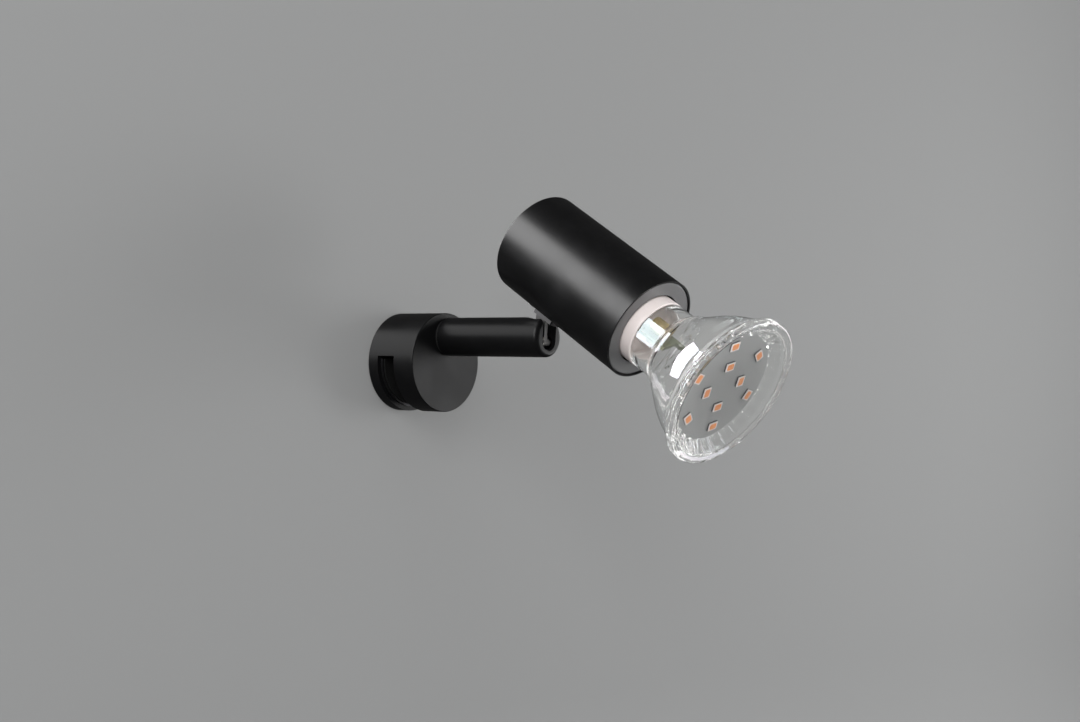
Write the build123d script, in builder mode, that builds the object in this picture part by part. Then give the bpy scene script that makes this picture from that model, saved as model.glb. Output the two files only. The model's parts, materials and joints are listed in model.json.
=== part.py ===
from build123d import *
from math import cos, radians, sin
import os

# A small spotlight for a wall or the top edge of a mirror.
# Frame: the wall is the plane Y = 0, the light stands out along -Y, +Z is up.
# The origin is the centre of the base's back face. All sizes are in millimetres.

# ---- driving dimensions ------------------------------------------------------

# base: a short round housing with a slot for a mirror's edge
base_radius = 16.7
base_depth = 20.3
base_edge_radius = 0.4
rear_jaw = 4.4            # thickness behind the mirror slot
slot_width = 7.4
slot_top = 0.6            # height of the slot's ceiling
pad_thickness = 0.5
plate_thickness = 0.8
clamp_screw_radius = 1.5
clamp_screw_spacing = 13.0
clamp_screw_height = -7.0
fit_gap = 0.05            # running clearance between a shaft and its hole

# arm: a tube that swivels about its own axis
arm_radius = 6.5
arm_height = 8.7          # height of the arm's axis
arm_reach = 64.0          # from the wall to the end of the arm
arm_end_radius = 1.5
arm_foot_chamfer = 0.4
seat_washer = 0.5
stud_radius = 4.0
stud_bore = 2.75
wire_bore = 3.2
bore_radius = 6.7         # rear bore that holds the swivel's washers and nut
bore_depth = 14.5
stop_pin_offset = 5.9     # from the arm's axis to the pin that limits the swivel
stop_pin_radius = 0.6
stop_pin_depth = 2.4

# knuckle: a slot in the arm's end, and the cross screw in it
slot_half = 3.4
slot_start = 54.7         # where the slot's pointed end begins, from the wall
slot_full = 60.9          # where it reaches its full width
slot_round = 7.6          # height at which its walls run into the round bottom of its end
end_lip = 0.7             # thickness of the arm's end in front of the nut's pocket
hinge_reach = 60.3
hinge_height = 7.2
hinge_screw_radius = 1.25
nut_flats = 5.0
nut_length = 2.0
ear_thickness = 1.5
eye_radius = 2.3

# head: a cylinder that tilts about the cross screw
tilt = 31.5               # degrees below horizontal
head_radius = 17.05
head_length = 54.5
head_wall = 0.6
head_rise = 25.7          # from the hinge to the head's axis
head_lead = 7.1           # from the hinge to the head's middle, along its axis
flange_rear = -5.0
flange_front = 3.0
flange_half = 4.0
flange_thickness = 1.2
lamp_hole = 12.0

# lamp: a 50 mm glass reflector lamp with two pins 10 mm apart
rim_radius = 25.0
rim_front = 37.0          # from the head's front edge to the front of the lamp
neck_radius = 11.35
lamp_back = -9.5          # back face of the lamp's base
pin_offset = 5.0
pin_length = 7.5
board_radius = 18.6
board_place = 30.8        # back of the round circuit board
twist = 25.0              # degrees that the lamp turns to come free

os.makedirs("parts", exist_ok=True)


# ---- planes ------------------------------------------------------------------

def front_plane(reach, height=0.0):
    """A plane parallel to the wall; a sketch on it grows away from the wall."""
    return Plane(origin=(0, -reach, height), x_dir=(1, 0, 0), z_dir=(0, -1, 0))


head_ahead = Vector(0, -cos(radians(tilt)), -sin(radians(tilt)))
head_up = Vector(0, -sin(radians(tilt)), cos(radians(tilt)))
hinge_point = Vector(0, -hinge_reach, hinge_height)
head_front = hinge_point + head_up * head_rise + head_ahead * (head_lead + head_length / 2)
head_axis = Axis(head_front, head_ahead)
arm_axis = Axis((0, 0, arm_height), (0, -1, 0))
hinge_offset = -(head_length / 2 + head_lead)   # the hinge's place along the head


def head_plane(ahead):
    """A plane square to the head's axis; its y axis points up in the head."""
    return Plane(origin=head_front + head_ahead * ahead, x_dir=(1, 0, 0), z_dir=head_ahead)


# x is the distance from the head's axis and y the place along it
head_profile = Plane(origin=head_front, x_dir=head_up, z_dir=(1, 0, 0))
# x runs along the arm from the wall and y is the distance from its axis
arm_profile = Plane(origin=(0, 0, arm_height), x_dir=(0, -1, 0), z_dir=(-1, 0, 0))


def ear_plane(across):
    """Side view of the head's bracket from the hinge: x ahead, y up in the head."""
    return Plane(origin=hinge_point + Vector(across, 0, 0), x_dir=head_ahead, z_dir=(-1, 0, 0))


def cross_plane(across):
    """A plane square to the cross screw, centred on it, which grows towards -X."""
    return Plane(origin=hinge_point + Vector(across, 0, 0), x_dir=(0, -1, 0), z_dir=(-1, 0, 0))


def save(piece, name):
    """Label a finished piece and write it under its own name."""
    piece.part.label = name
    export_step(piece.part, f"parts/{name}.step")


def ring(plane, outer, inner, length):
    """A plain round ring."""
    with BuildPart() as piece:
        with BuildSketch(plane):
            Circle(outer)
            if inner:
                Circle(inner, mode=Mode.SUBTRACT)
        extrude(amount=length)
    return piece


# ---- base --------------------------------------------------------------------

slot_front = rear_jaw + slot_width

with BuildPart() as base_housing:
    with BuildSketch(front_plane(0)):
        Circle(base_radius)
    extrude(amount=base_depth)
    fillet(base_housing.edges().filter_by(GeomType.CIRCLE), radius=base_edge_radius)
    # mirror slot: open at the bottom and at both sides
    with BuildSketch(front_plane(rear_jaw, slot_top)):
        Rectangle(2 * base_radius + 2, base_radius + 2, align=(Align.CENTER, Align.MAX))
    extrude(amount=slot_width, mode=Mode.SUBTRACT)
    # rear bore for the swivel's nut, and the hole for the stud in front of it
    with BuildSketch(front_plane(0, arm_height)):
        Circle(bore_radius)
    extrude(amount=bore_depth, mode=Mode.SUBTRACT)
    with BuildSketch(front_plane(bore_depth, arm_height)):
        Circle(stud_radius + fit_gap)
    extrude(amount=base_depth - bore_depth, mode=Mode.SUBTRACT)
    # tapped holes for the clamp screws in the rear jaw
    with BuildSketch(front_plane(0, clamp_screw_height)):
        with GridLocations(clamp_screw_spacing, 0, 2, 1):
            Circle(clamp_screw_radius + fit_gap)
    extrude(amount=rear_jaw, mode=Mode.SUBTRACT)
    # hole for the swivel's stop pin
    with BuildSketch(front_plane(bore_depth, arm_height + stop_pin_offset)):
        Circle(stop_pin_radius)
    extrude(amount=stop_pin_depth, mode=Mode.SUBTRACT)
save(base_housing, "base_housing")


plate_top = slot_top - 0.8
pad_radius = 14.5
plate_radius = 15.2


def jaw_plate(start, thickness, radius):
    """A plate with the outline of the base, cut off under the slot's ceiling."""
    with BuildPart() as piece:
        with BuildSketch(front_plane(start)):
            Circle(radius)
            with Locations((0, plate_top)):
                Rectangle(3 * radius, 2 * radius, align=(Align.CENTER, Align.MIN),
                          mode=Mode.SUBTRACT)
        extrude(amount=thickness)
    return piece


save(jaw_plate(slot_front - pad_thickness, pad_thickness, pad_radius), "clamp_pad_front")
plate_start = rear_jaw + fit_gap
save(jaw_plate(plate_start, plate_thickness, plate_radius), "clamp_plate")
save(jaw_plate(plate_start + plate_thickness, pad_thickness, pad_radius), "clamp_pad_rear")

clamp_screw_start = 0.2
clamp_socket_radius = 0.87
clamp_socket_depth = 1.6
with BuildPart() as clamp_screws:
    with BuildSketch(front_plane(clamp_screw_start, clamp_screw_height)):
        with GridLocations(clamp_screw_spacing, 0, 2, 1):
            Circle(clamp_screw_radius)
    extrude(amount=plate_start - clamp_screw_start)
    with BuildSketch(front_plane(clamp_screw_start, clamp_screw_height)):
        with GridLocations(clamp_screw_spacing, 0, 2, 1):
            RegularPolygon(clamp_socket_radius, 6)
    extrude(amount=clamp_socket_depth, mode=Mode.SUBTRACT)
save(clamp_screws, "clamp_screws")

# bush in the mouth of the rear bore, with a rounded lip round the cord's hole
cord_hole = 3.2
inlet_depth = 5.0
inlet_lip = 1.2
with BuildPart() as cable_inlet_bush:
    with BuildSketch(arm_profile):
        with BuildLine():
            Polyline((0, cord_hole + inlet_lip), (0, bore_radius), (inlet_depth, bore_radius),
                     (inlet_depth, cord_hole), (inlet_lip, cord_hole))
            TangentArc((inlet_lip, cord_hole), (0, cord_hole + inlet_lip), tangent=(-1, 0))
        make_face()
    revolve(axis=arm_axis)
save(cable_inlet_bush, "cable_inlet_bush")

# ---- swivel ------------------------------------------------------------------

seat_radius = 6.1
save(ring(front_plane(base_depth, arm_height), seat_radius, stud_radius + fit_gap, seat_washer),
     "swivel_seat_washer")

arm_foot = base_depth + seat_washer
spring_height = 0.9
spring_sheet = 0.5
washer_radius = 5.1
cone_hole = 4.2
cone_back = bore_depth - spring_height
with BuildPart() as swivel_spring_washer:
    with BuildSketch(arm_profile):
        with BuildLine():
            Polyline((cone_back, washer_radius), (cone_back + spring_sheet, washer_radius),
                     (bore_depth, cone_hole), (bore_depth - spring_sheet, cone_hole),
                     close=True)
        make_face()
    revolve(axis=arm_axis)
save(swivel_spring_washer, "swivel_spring_washer")

# washer with a tab that meets the stop pin at each end of the swivel
stop_washer_length = 0.8
tab_width = 2.0
tab_length = 2.6
with BuildPart() as swivel_stop_washer:
    with BuildSketch(front_plane(cone_back - stop_washer_length, arm_height)):
        Circle(washer_radius)
        with Locations((0, -washer_radius)):
            Rectangle(tab_width, tab_length)
        Circle(stud_radius, mode=Mode.SUBTRACT)
    extrude(amount=stop_washer_length)
save(swivel_stop_washer, "swivel_stop_washer")

lock_nut_half = 5.4       # from its middle to a flat
lock_nut_length = 3.0
lock_nut_front = cone_back - stop_washer_length
stop_pin_start = lock_nut_front + 0.1
save(ring(front_plane(stop_pin_start, arm_height + stop_pin_offset), stop_pin_radius, 0,
          bore_depth + stop_pin_depth - stop_pin_start), "swivel_stop_pin")

with BuildPart() as swivel_lock_nut:
    with BuildSketch(front_plane(lock_nut_front - lock_nut_length, arm_height)):
        RegularPolygon(lock_nut_half, 6, major_radius=False)
        Circle(stud_radius, mode=Mode.SUBTRACT)
    extrude(amount=lock_nut_length)
save(swivel_lock_nut, "swivel_lock_nut")

stud_start = lock_nut_front - lock_nut_length - 0.8
stud_end = 30.5
save(ring(front_plane(stud_start, arm_height), stud_radius, stud_bore, stud_end - stud_start),
     "arm_nipple")

# ---- arm ---------------------------------------------------------------------

slot_floor = hinge_height - nut_flats / 2 - fit_gap
thread_end = stud_end + 0.5
pocket_start = hinge_reach - 3.1
pocket_height = nut_flats + 0.9
head_seat = 4.9           # where the cross screw's head rests, from the middle
counterbore_radius = 2.2
blind_end = -5.3
beyond = arm_radius + 1   # a place outside the arm where a cross cut can start

with BuildPart() as arm_tube:
    with BuildSketch(arm_profile):
        with BuildLine():
            Polyline((thread_end, 0), (arm_reach, 0),
                     (arm_reach, arm_radius - arm_end_radius))
            TangentArc((arm_reach, arm_radius - arm_end_radius),
                       (arm_reach - arm_end_radius, arm_radius), tangent=(0, 1))
            Polyline((arm_reach - arm_end_radius, arm_radius),
                     (arm_foot + arm_foot_chamfer, arm_radius),
                     (arm_foot, arm_radius - arm_foot_chamfer),
                     (arm_foot, stud_radius), (thread_end, stud_radius), (thread_end, 0))
        make_face()
    revolve(axis=arm_axis)
    # wire bore
    with BuildSketch(front_plane(stud_end, arm_height)):
        Circle(wire_bore)
    extrude(amount=slot_full - stud_end, mode=Mode.SUBTRACT)
    # knuckle slot, open above and ahead, with a pointed round end
    with BuildSketch(Plane.XY.offset(slot_round)):
        with Locations((0, -slot_full)):
            Ellipse(slot_half, slot_full - slot_start)
            Rectangle(2 * slot_half, arm_reach, align=(Align.CENTER, Align.MAX))
    extrude(amount=2 * beyond, mode=Mode.SUBTRACT)
    # pocket for the nut and the bush at the foot of the slot
    with BuildSketch(Plane.XY.offset(slot_floor)):
        with Locations((0, -pocket_start)):
            Rectangle(2 * slot_half, arm_reach - end_lip - pocket_start,
                      align=(Align.CENTER, Align.MAX))
    extrude(amount=pocket_height, mode=Mode.SUBTRACT)
    # round bottom of the slot in the lip at the arm's end
    with BuildSketch(front_plane(arm_reach - end_lip, slot_round)):
        Circle(slot_half)
    extrude(amount=2 * end_lip, mode=Mode.SUBTRACT)
    # cross hole: counterbored for the screw's head, blind on the other side
    with BuildSketch(cross_plane(beyond)):
        Circle(hinge_screw_radius)
    extrude(amount=beyond - blind_end, mode=Mode.SUBTRACT)
    with BuildSketch(cross_plane(beyond)):
        Circle(counterbore_radius)
    extrude(amount=beyond - head_seat, mode=Mode.SUBTRACT)
save(arm_tube, "arm_tube")

# ---- knuckle hardware ----------------------------------------------------------

screw_head_radius = 2.0
screw_head_length = 1.3
screw_tip = blind_end + 0.3
with BuildPart() as hinge_screw:
    with BuildSketch(cross_plane(head_seat + screw_head_length)):
        Circle(screw_head_radius)
    extrude(amount=screw_head_length)
    with BuildSketch(cross_plane(head_seat)):
        Circle(hinge_screw_radius)
    extrude(amount=head_seat - screw_tip)
    with BuildSketch(cross_plane(head_seat + screw_head_length)):
        RegularPolygon(screw_head_radius / 2, 6)
    extrude(amount=0.6 * screw_head_length, mode=Mode.SUBTRACT)
save(hinge_screw, "hinge_screw")

ear_half = ear_thickness / 2
washer_length = 0.45
cross_washer_radius = 2.35
save(ring(cross_plane(-ear_half), cross_washer_radius, hinge_screw_radius, washer_length),
     "hinge_washer")

nut_near = -ear_half - washer_length
with BuildPart() as hinge_nut:
    with BuildSketch(cross_plane(nut_near)):
        RegularPolygon(nut_flats / 2, 6, major_radius=False)
        Circle(hinge_screw_radius, mode=Mode.SUBTRACT)
    extrude(amount=nut_length)
    chamfer(hinge_nut.faces().sort_by(Axis.X)[0].outer_wire().edges(), length=0.3)
save(hinge_nut, "hinge_nut")

spring_length = 0.7
spring_split = 0.35
hinge_bush_length = slot_half - ear_half - spring_length
save(ring(cross_plane(ear_half + hinge_bush_length), cross_washer_radius,
          hinge_screw_radius, hinge_bush_length), "hinge_bush")

# split spring washer against the cheek
with BuildPart() as hinge_spring_washer:
    with BuildSketch(cross_plane(slot_half)):
        Circle(cross_washer_radius)
        Circle(hinge_screw_radius, mode=Mode.SUBTRACT)
        with Locations(Location((0, cross_washer_radius), 20)):
            Rectangle(spring_split, 2 * cross_washer_radius, mode=Mode.SUBTRACT)
    extrude(amount=spring_length)
save(hinge_spring_washer, "hinge_spring_washer")

# ---- bracket -------------------------------------------------------------------

flange_inner = head_radius + 0.02
flange_outer = flange_inner + flange_thickness
flange_middle = hinge_offset + (flange_rear + flange_front) / 2
bracket_screw_radius = 1.0
bracket_screw_spacing = 4.8
bracket_head_radius = 1.8
bracket_head_length = 1.2
ear_top = head_rise - flange_inner - flange_thickness / 2
ear_rear = -6.6           # the ear's edges at the flange, ahead of the hinge
ear_ahead = -2.4
through = 5               # long enough to cut through any sheet from inside


def down_plane(ahead, drop):
    """A plane under the head's axis: x across, y ahead; it grows downwards in the head."""
    return Plane(origin=head_front + head_ahead * ahead - head_up * drop,
                 x_dir=(1, 0, 0), z_dir=-head_up)


with BuildPart() as hinge_bracket:
    # ear: wide at the flange, swept down to a round eye
    with BuildSketch(ear_plane(ear_half)):
        with BuildLine():
            CenterArc((0, 0), eye_radius, 0, 360)
            Line((ear_rear, ear_top), (ear_ahead, ear_top))
        make_hull()
    extrude(amount=ear_thickness)
    # saddle flange that follows the head's underside
    with BuildSketch(head_plane(hinge_offset + flange_rear)):
        Circle(flange_outer)
        Circle(flange_inner, mode=Mode.SUBTRACT)
        Rectangle(2 * flange_half, 2 * flange_outer, align=(Align.CENTER, Align.MAX),
                  mode=Mode.INTERSECT)
    extrude(amount=flange_front - flange_rear)
    with BuildSketch(cross_plane(ear_half)):
        Circle(hinge_screw_radius + fit_gap)
    extrude(amount=ear_thickness, mode=Mode.SUBTRACT)
    with BuildSketch(down_plane(flange_middle, head_radius - 2)):
        with GridLocations(bracket_screw_spacing, 0, 2, 1):
            Circle(bracket_screw_radius)
    extrude(amount=through, mode=Mode.SUBTRACT)
save(hinge_bracket, "hinge_bracket")

# ---- head ----------------------------------------------------------------------

inner_radius = head_radius - head_wall
wire_hole = hinge_offset - 8.5
bush_radius = 2.6
rear_edge = 0.7
rear_wall = 1.2

with BuildPart() as head_shell:
    with BuildSketch(head_profile):
        with BuildLine():
            rear = -head_length
            Line((0, rear), (head_radius - rear_edge, rear))
            TangentArc((head_radius - rear_edge, rear), (head_radius, rear + rear_edge),
                       tangent=(1, 0))
            Polyline((head_radius, rear + rear_edge), (head_radius, 0), (inner_radius, 0),
                     (inner_radius, rear + rear_wall), (0, rear + rear_wall), (0, rear))
        make_face()
    revolve(axis=head_axis)
    # holes for the bracket's screws and for the wires' bush
    with BuildSketch(down_plane(flange_middle, head_radius - 3)):
        with GridLocations(bracket_screw_spacing, 0, 2, 1):
            Circle(bracket_screw_radius + 0.2)
    extrude(amount=through, mode=Mode.SUBTRACT)
    with BuildSketch(down_plane(wire_hole, head_radius - 3)):
        Circle(bush_radius + fit_gap)
    extrude(amount=through, mode=Mode.SUBTRACT)
save(head_shell, "head_shell")

# flanged sleeve that keeps the wires off the edge of their hole
bush_flange = 3.4
bush_flange_length = 0.75
bush_start = inner_radius - 1.2
sleeve_length = head_wall + 1.4
with BuildPart() as head_wire_bush:
    with BuildSketch(down_plane(wire_hole, bush_start)):
        Circle(bush_flange)
    extrude(amount=bush_flange_length)
    with BuildSketch(down_plane(wire_hole, bush_start)):
        Circle(bush_radius)
    extrude(amount=sleeve_length)
    with BuildSketch(down_plane(wire_hole, bush_start)):
        Circle(bush_radius - 0.6)
    extrude(amount=sleeve_length, mode=Mode.SUBTRACT)
save(head_wire_bush, "head_wire_bush")

# pressed front disc with a turned-back skirt
disc_place = -0.3
disc_thickness = 0.8
skirt_length = 4.0
disc_radius = inner_radius - 0.03
bend = 0.5
with BuildPart() as front_plate:
    with BuildSketch(head_profile):
        with BuildLine():
            inside = disc_radius - disc_thickness
            under = disc_place - disc_thickness
            Line((lamp_hole, disc_place), (disc_radius - bend, disc_place))
            TangentArc((disc_radius - bend, disc_place), (disc_radius, disc_place - bend),
                       tangent=(1, 0))
            Polyline((disc_radius, disc_place - bend), (disc_radius, disc_place - skirt_length),
                     (inside, disc_place - skirt_length), (inside, under), (lamp_hole, under),
                     (lamp_hole, disc_place))
        make_face()
    revolve(axis=head_axis)
save(front_plate, "front_plate")

# ---- lampholder ----------------------------------------------------------------

holder_radius = 11.5
holder_flats = 10.5
holder_front = lamp_back - 0.3
holder_length = 17.0
holder_back = holder_front - holder_length
holder_lip = 2.4
holder_pocket = 9.5
pin_shank = 1.4
pin_head = 2.5
slot_clearance = 0.35
# the pins' path round the axis, as a straight slot from the locked to the free place
path_radius = pin_offset * cos(radians(twist / 2))
path_length = 2 * pin_offset * sin(radians(twist / 2))
holder_screw_height = 8.0
holder_screw_radius = 1.5
holder_recess_radius = 2.9
holder_recess = 2.5
wire_hole_radius = 1.2
wire_hole_depth = 4.5

with BuildPart() as lampholder:
    with BuildSketch(head_plane(holder_back)):
        Circle(holder_radius)
        Rectangle(2 * holder_flats, 2 * holder_radius, mode=Mode.INTERSECT)
    extrude(amount=holder_length)
    chamfer(lampholder.faces().sort_by(head_axis)[-1].edges(), length=0.8)
    # narrow slots in the lip for the pins' shanks, with a round entry at one end
    with BuildSketch(head_plane(holder_front - holder_lip)):
        with PolarLocations(path_radius, 2, start_angle=twist / 2):
            SlotCenterToCenter(path_length, 2 * (pin_shank + slot_clearance), rotation=90)
        with PolarLocations(pin_offset, 2, start_angle=twist):
            Circle(pin_head + slot_clearance)
    extrude(amount=holder_lip, mode=Mode.SUBTRACT)
    # wide pockets behind the lip for the pins' heads
    with BuildSketch(head_plane(holder_front - holder_pocket)):
        with PolarLocations(path_radius, 2, start_angle=twist / 2):
            SlotCenterToCenter(path_length, 2 * (pin_head + slot_clearance), rotation=90)
    extrude(amount=holder_pocket - holder_lip, mode=Mode.SUBTRACT)
    # screw holes with round recesses in front
    with BuildSketch(head_plane(holder_back)):
        with GridLocations(0, 2 * holder_screw_height, 1, 2):
            Circle(holder_screw_radius + 0.1)
    extrude(amount=holder_length, mode=Mode.SUBTRACT)
    with BuildSketch(head_plane(holder_front - holder_recess)):
        with GridLocations(0, 2 * holder_screw_height, 1, 2):
            Circle(holder_recess_radius)
    extrude(amount=holder_recess, mode=Mode.SUBTRACT)
    # wire holes in the back
    with BuildSketch(head_plane(holder_back)):
        with GridLocations(2 * pin_offset, 0, 2, 1):
            Circle(wire_hole_radius)
    extrude(amount=wire_hole_depth, mode=Mode.SUBTRACT)
save(lampholder, "lampholder")

# bowed strips at the bottom of the pockets, just under the pins' ends
contact_half = 2.4
contact_sheet = 0.4
contact_width = 2.0
contact_rise = holder_pocket - (lamp_back - holder_front) - pin_length - 0.3
with BuildPart() as holder_contacts:
    contact_floor = head_front + head_ahead * (holder_front - holder_pocket + 0.02)
    for side in (-1, 1):
        with BuildSketch(Plane(origin=contact_floor
                               + Vector(side * pin_offset - contact_width / 2, 0, 0),
                               x_dir=head_up, z_dir=(1, 0, 0))):
            with BuildLine():
                inner_half = contact_half - contact_sheet
                ThreePointArc((contact_half, 0), (0, contact_rise), (-contact_half, 0))
                Line((-contact_half, 0), (-inner_half, 0))
                ThreePointArc((-inner_half, 0), (0, contact_rise - contact_sheet),
                              (inner_half, 0))
                Line((inner_half, 0), (contact_half, 0))
            make_face()
        extrude(amount=contact_width)
save(holder_contacts, "holder_contacts")

# angle strap: one leg on the shell under the bracket's screws, one behind the holder
strap = 1.0
strap_half = 3.6
strap_seat = 16.02
strap_front = holder_back - 0.05
strap_rear = flange_middle - 2.8
strap_bend = 2.0
with BuildPart() as holder_bridge:
    with BuildSketch(Plane(origin=head_front - Vector(strap_half, 0, 0), x_dir=head_up,
                           z_dir=(1, 0, 0))):
        with BuildLine():
            knee = strap_front - strap_bend
            foot = strap_bend - strap_seat
            top = holder_screw_height + 3.0
            Line((-strap_seat, strap_rear), (-strap_seat, knee))
            TangentArc((-strap_seat, knee), (foot, strap_front), tangent=(0, 1))
            Polyline((foot, strap_front), (top, strap_front), (top, strap_front - strap),
                     (foot, strap_front - strap))
            TangentArc((foot, strap_front - strap), (strap - strap_seat, knee),
                       tangent=(-1, 0))
            Polyline((strap - strap_seat, knee), (strap - strap_seat, strap_rear),
                     (-strap_seat, strap_rear))
        make_face()
    extrude(amount=2 * strap_half)
    with BuildSketch(down_plane(flange_middle, inner_radius - 4)):
        with GridLocations(bracket_screw_spacing, 0, 2, 1):
            Circle(bracket_screw_radius + 0.1)
    extrude(amount=through, mode=Mode.SUBTRACT)
    with BuildSketch(head_plane(strap_front - strap)):
        with GridLocations(0, 2 * holder_screw_height, 1, 2):
            Circle(holder_screw_radius)
    extrude(amount=strap, mode=Mode.SUBTRACT)
save(holder_bridge, "holder_bridge")

screw_end = strap_front - strap - 1.2
screw_seat = holder_front - holder_recess
screw_head_height = 1.8
with BuildPart() as holder_screws:
    with BuildSketch(head_plane(screw_end)):
        with GridLocations(0, 2 * holder_screw_height, 1, 2):
            Circle(holder_screw_radius)
    extrude(amount=screw_seat - screw_end)
    with BuildSketch(head_plane(screw_seat)):
        with GridLocations(0, 2 * holder_screw_height, 1, 2):
            Circle(holder_recess_radius - 0.3)
    extrude(amount=screw_head_height)
    with BuildSketch(head_plane(screw_seat + screw_head_height / 2)):
        with GridLocations(0, 2 * holder_screw_height, 1, 2):
            Rectangle(2 * holder_recess_radius, 0.7)
    extrude(amount=screw_head_height / 2, mode=Mode.SUBTRACT)
save(holder_screws, "holder_screws")

head_drop = strap_seat - strap
with BuildPart() as bracket_screws:
    with BuildSketch(down_plane(flange_middle, head_drop - bracket_head_length)):
        with GridLocations(bracket_screw_spacing, 0, 2, 1):
            Circle(bracket_head_radius)
    extrude(amount=bracket_head_length)
    with BuildSketch(down_plane(flange_middle, head_drop)):
        with GridLocations(bracket_screw_spacing, 0, 2, 1):
            Circle(bracket_screw_radius)
    extrude(amount=3.0)
    with BuildSketch(down_plane(flange_middle, head_drop - bracket_head_length)):
        with GridLocations(bracket_screw_spacing, 0, 2, 1):
            Rectangle(2.2 * bracket_head_radius, 0.5)
    extrude(amount=bracket_head_length / 2, mode=Mode.SUBTRACT)
save(bracket_screws, "bracket_screws")

# ---- wires ---------------------------------------------------------------------

wire_radius = 0.9
wire_offset = 1.0

leads_start = 6.5
leads_end = 55.0
with BuildPart() as arm_leads:
    with BuildSketch(front_plane(leads_start, arm_height)):
        with GridLocations(2 * wire_offset, 0, 2, 1):
            Circle(wire_radius)
    extrude(amount=leads_end - leads_start)
save(arm_leads, "arm_leads")

with BuildPart() as head_leads:
    lead_height = 3.0
    for side in (-1, 1):
        side_view = Plane(origin=head_front + Vector(side * wire_offset, 0, 0), x_dir=head_up,
                          z_dir=(1, 0, 0))
        with BuildLine(side_view) as lead_route:
            FilletPolyline((lead_height, strap_front - strap - 1.6), (lead_height, wire_hole + 3),
                           (-2.0, wire_hole), (-head_radius - 0.2, wire_hole), radius=3.0)
        with BuildSketch(Plane(origin=lead_route.line @ 0, z_dir=lead_route.line % 0)):
            Circle(wire_radius)
        sweep(path=lead_route.line)
save(head_leads, "head_leads")

# ---- lamp ----------------------------------------------------------------------

base_front = 3.6
cavity_floor = -2.0
spigot_radius = 10.2
collar_radius = neck_radius + 0.1
lip = 0.5
pin_root = lamp_back + 4.0
with BuildPart() as lamp_base:
    with BuildSketch(head_profile):
        with BuildLine():
            Polyline((0, lamp_back), (9.2, lamp_back), (10.4, lamp_back + 1.2),
                     (collar_radius, pin_root), (collar_radius, base_front - lip))
            TangentArc((collar_radius, base_front - lip), (collar_radius - lip, base_front),
                       tangent=(0, 1))
            Polyline((collar_radius - lip, base_front), (spigot_radius + 0.1, base_front),
                     (spigot_radius + 0.1, cavity_floor), (0, cavity_floor), (0, lamp_back))
        make_face()
    revolve(axis=head_axis)
    # sockets for the pins
    with BuildSketch(head_plane(lamp_back)):
        with GridLocations(2 * pin_offset, 0, 2, 1):
            Circle(pin_shank)
    extrude(amount=pin_root - lamp_back, mode=Mode.SUBTRACT)
save(lamp_base, "lamp_base")

# pins with a mushroom end that locks behind the holder's lip
pin_edge = 0.7
pin_head_length = 2.2
pin_taper = 0.8
pin_tip = lamp_back - pin_length
pin_head_end = pin_tip + pin_head_length
with BuildPart() as lamp_pins:
    for side in (-1, 1):
        pin_place = head_front + Vector(side * pin_offset, 0, 0)
        with BuildSketch(Plane(origin=pin_place, x_dir=head_up, z_dir=(1, 0, 0))):
            with BuildLine():
                Polyline((0, pin_tip), (pin_head - pin_edge, pin_tip),
                         (pin_head, pin_tip + pin_edge), (pin_head, pin_head_end),
                         (pin_shank, pin_head_end + pin_taper), (pin_shank, pin_root),
                         (0, pin_root), (0, pin_tip))
            make_face()
        revolve(axis=Axis(pin_place, head_ahead))
save(lamp_pins, "lamp_pins")

# pressed glass: spigot, neck with two moulded beads, flared bowl with a ledge for the
# board inside, and a thick rim that holds the cover
spigot_bore = 9.2
bead_places = (12.3, 14.3)    # where the beads are along the head's axis
bead_radius = 0.45
flare_start = 12.0
rim_back = rim_front - 2.8
flare_end = rim_back - 0.7
flare_radius = 22.9
cover_radius = 22.3
cover_seat = rim_front - 1.5
ledge_edge = board_radius - 1.2
with BuildPart() as lamp_glass:
    with BuildSketch(head_profile):
        with BuildLine():
            Polyline((spigot_radius, 0.4), (spigot_radius, base_front + 0.05),
                     (neck_radius - 0.3, base_front + 0.05), (neck_radius, base_front + 0.5),
                     (neck_radius, flare_start), (16.7, 20.0))
            ThreePointArc((16.7, 20.0), (20.8, 27.0), (flare_radius, flare_end))
            TangentArc((flare_radius, flare_end), (24.3, rim_back), tangent=(0.1, 1))
            ThreePointArc((24.3, rim_back), (rim_radius, rim_back + 1.2), (24.6, rim_front - 0.4))
            TangentArc((24.6, rim_front - 0.4), (23.6, rim_front), tangent=(-0.7, 1))
            Polyline((23.6, rim_front), (cover_radius + 0.2, rim_front - 0.5),
                     (cover_radius + 0.1, cover_seat), (21.6, cover_seat),
                     (board_radius + 0.4, board_place + 1.2), (board_radius + 0.15, board_place),
                     (ledge_edge, board_place))
            ThreePointArc((ledge_edge, board_place), (15.9, 25.4), (13.4, 19.5))
            Polyline((13.4, 19.5), (spigot_bore, 10.7), (spigot_bore, 0.4), (spigot_radius, 0.4))
        make_face()
    revolve(axis=head_axis)
    with BuildSketch(head_profile):
        with Locations((neck_radius + 0.1, bead_places[0]), (neck_radius + 1.4, bead_places[1])):
            Circle(bead_radius)
    revolve(axis=head_axis)
save(lamp_glass, "lamp_glass")

save(ring(head_plane(cover_seat + 0.02), cover_radius, 0, 0.9), "lamp_cover")
board_thickness = 1.0
save(ring(head_plane(board_place + 0.02), board_radius, 0, board_thickness), "led_board")

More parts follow.
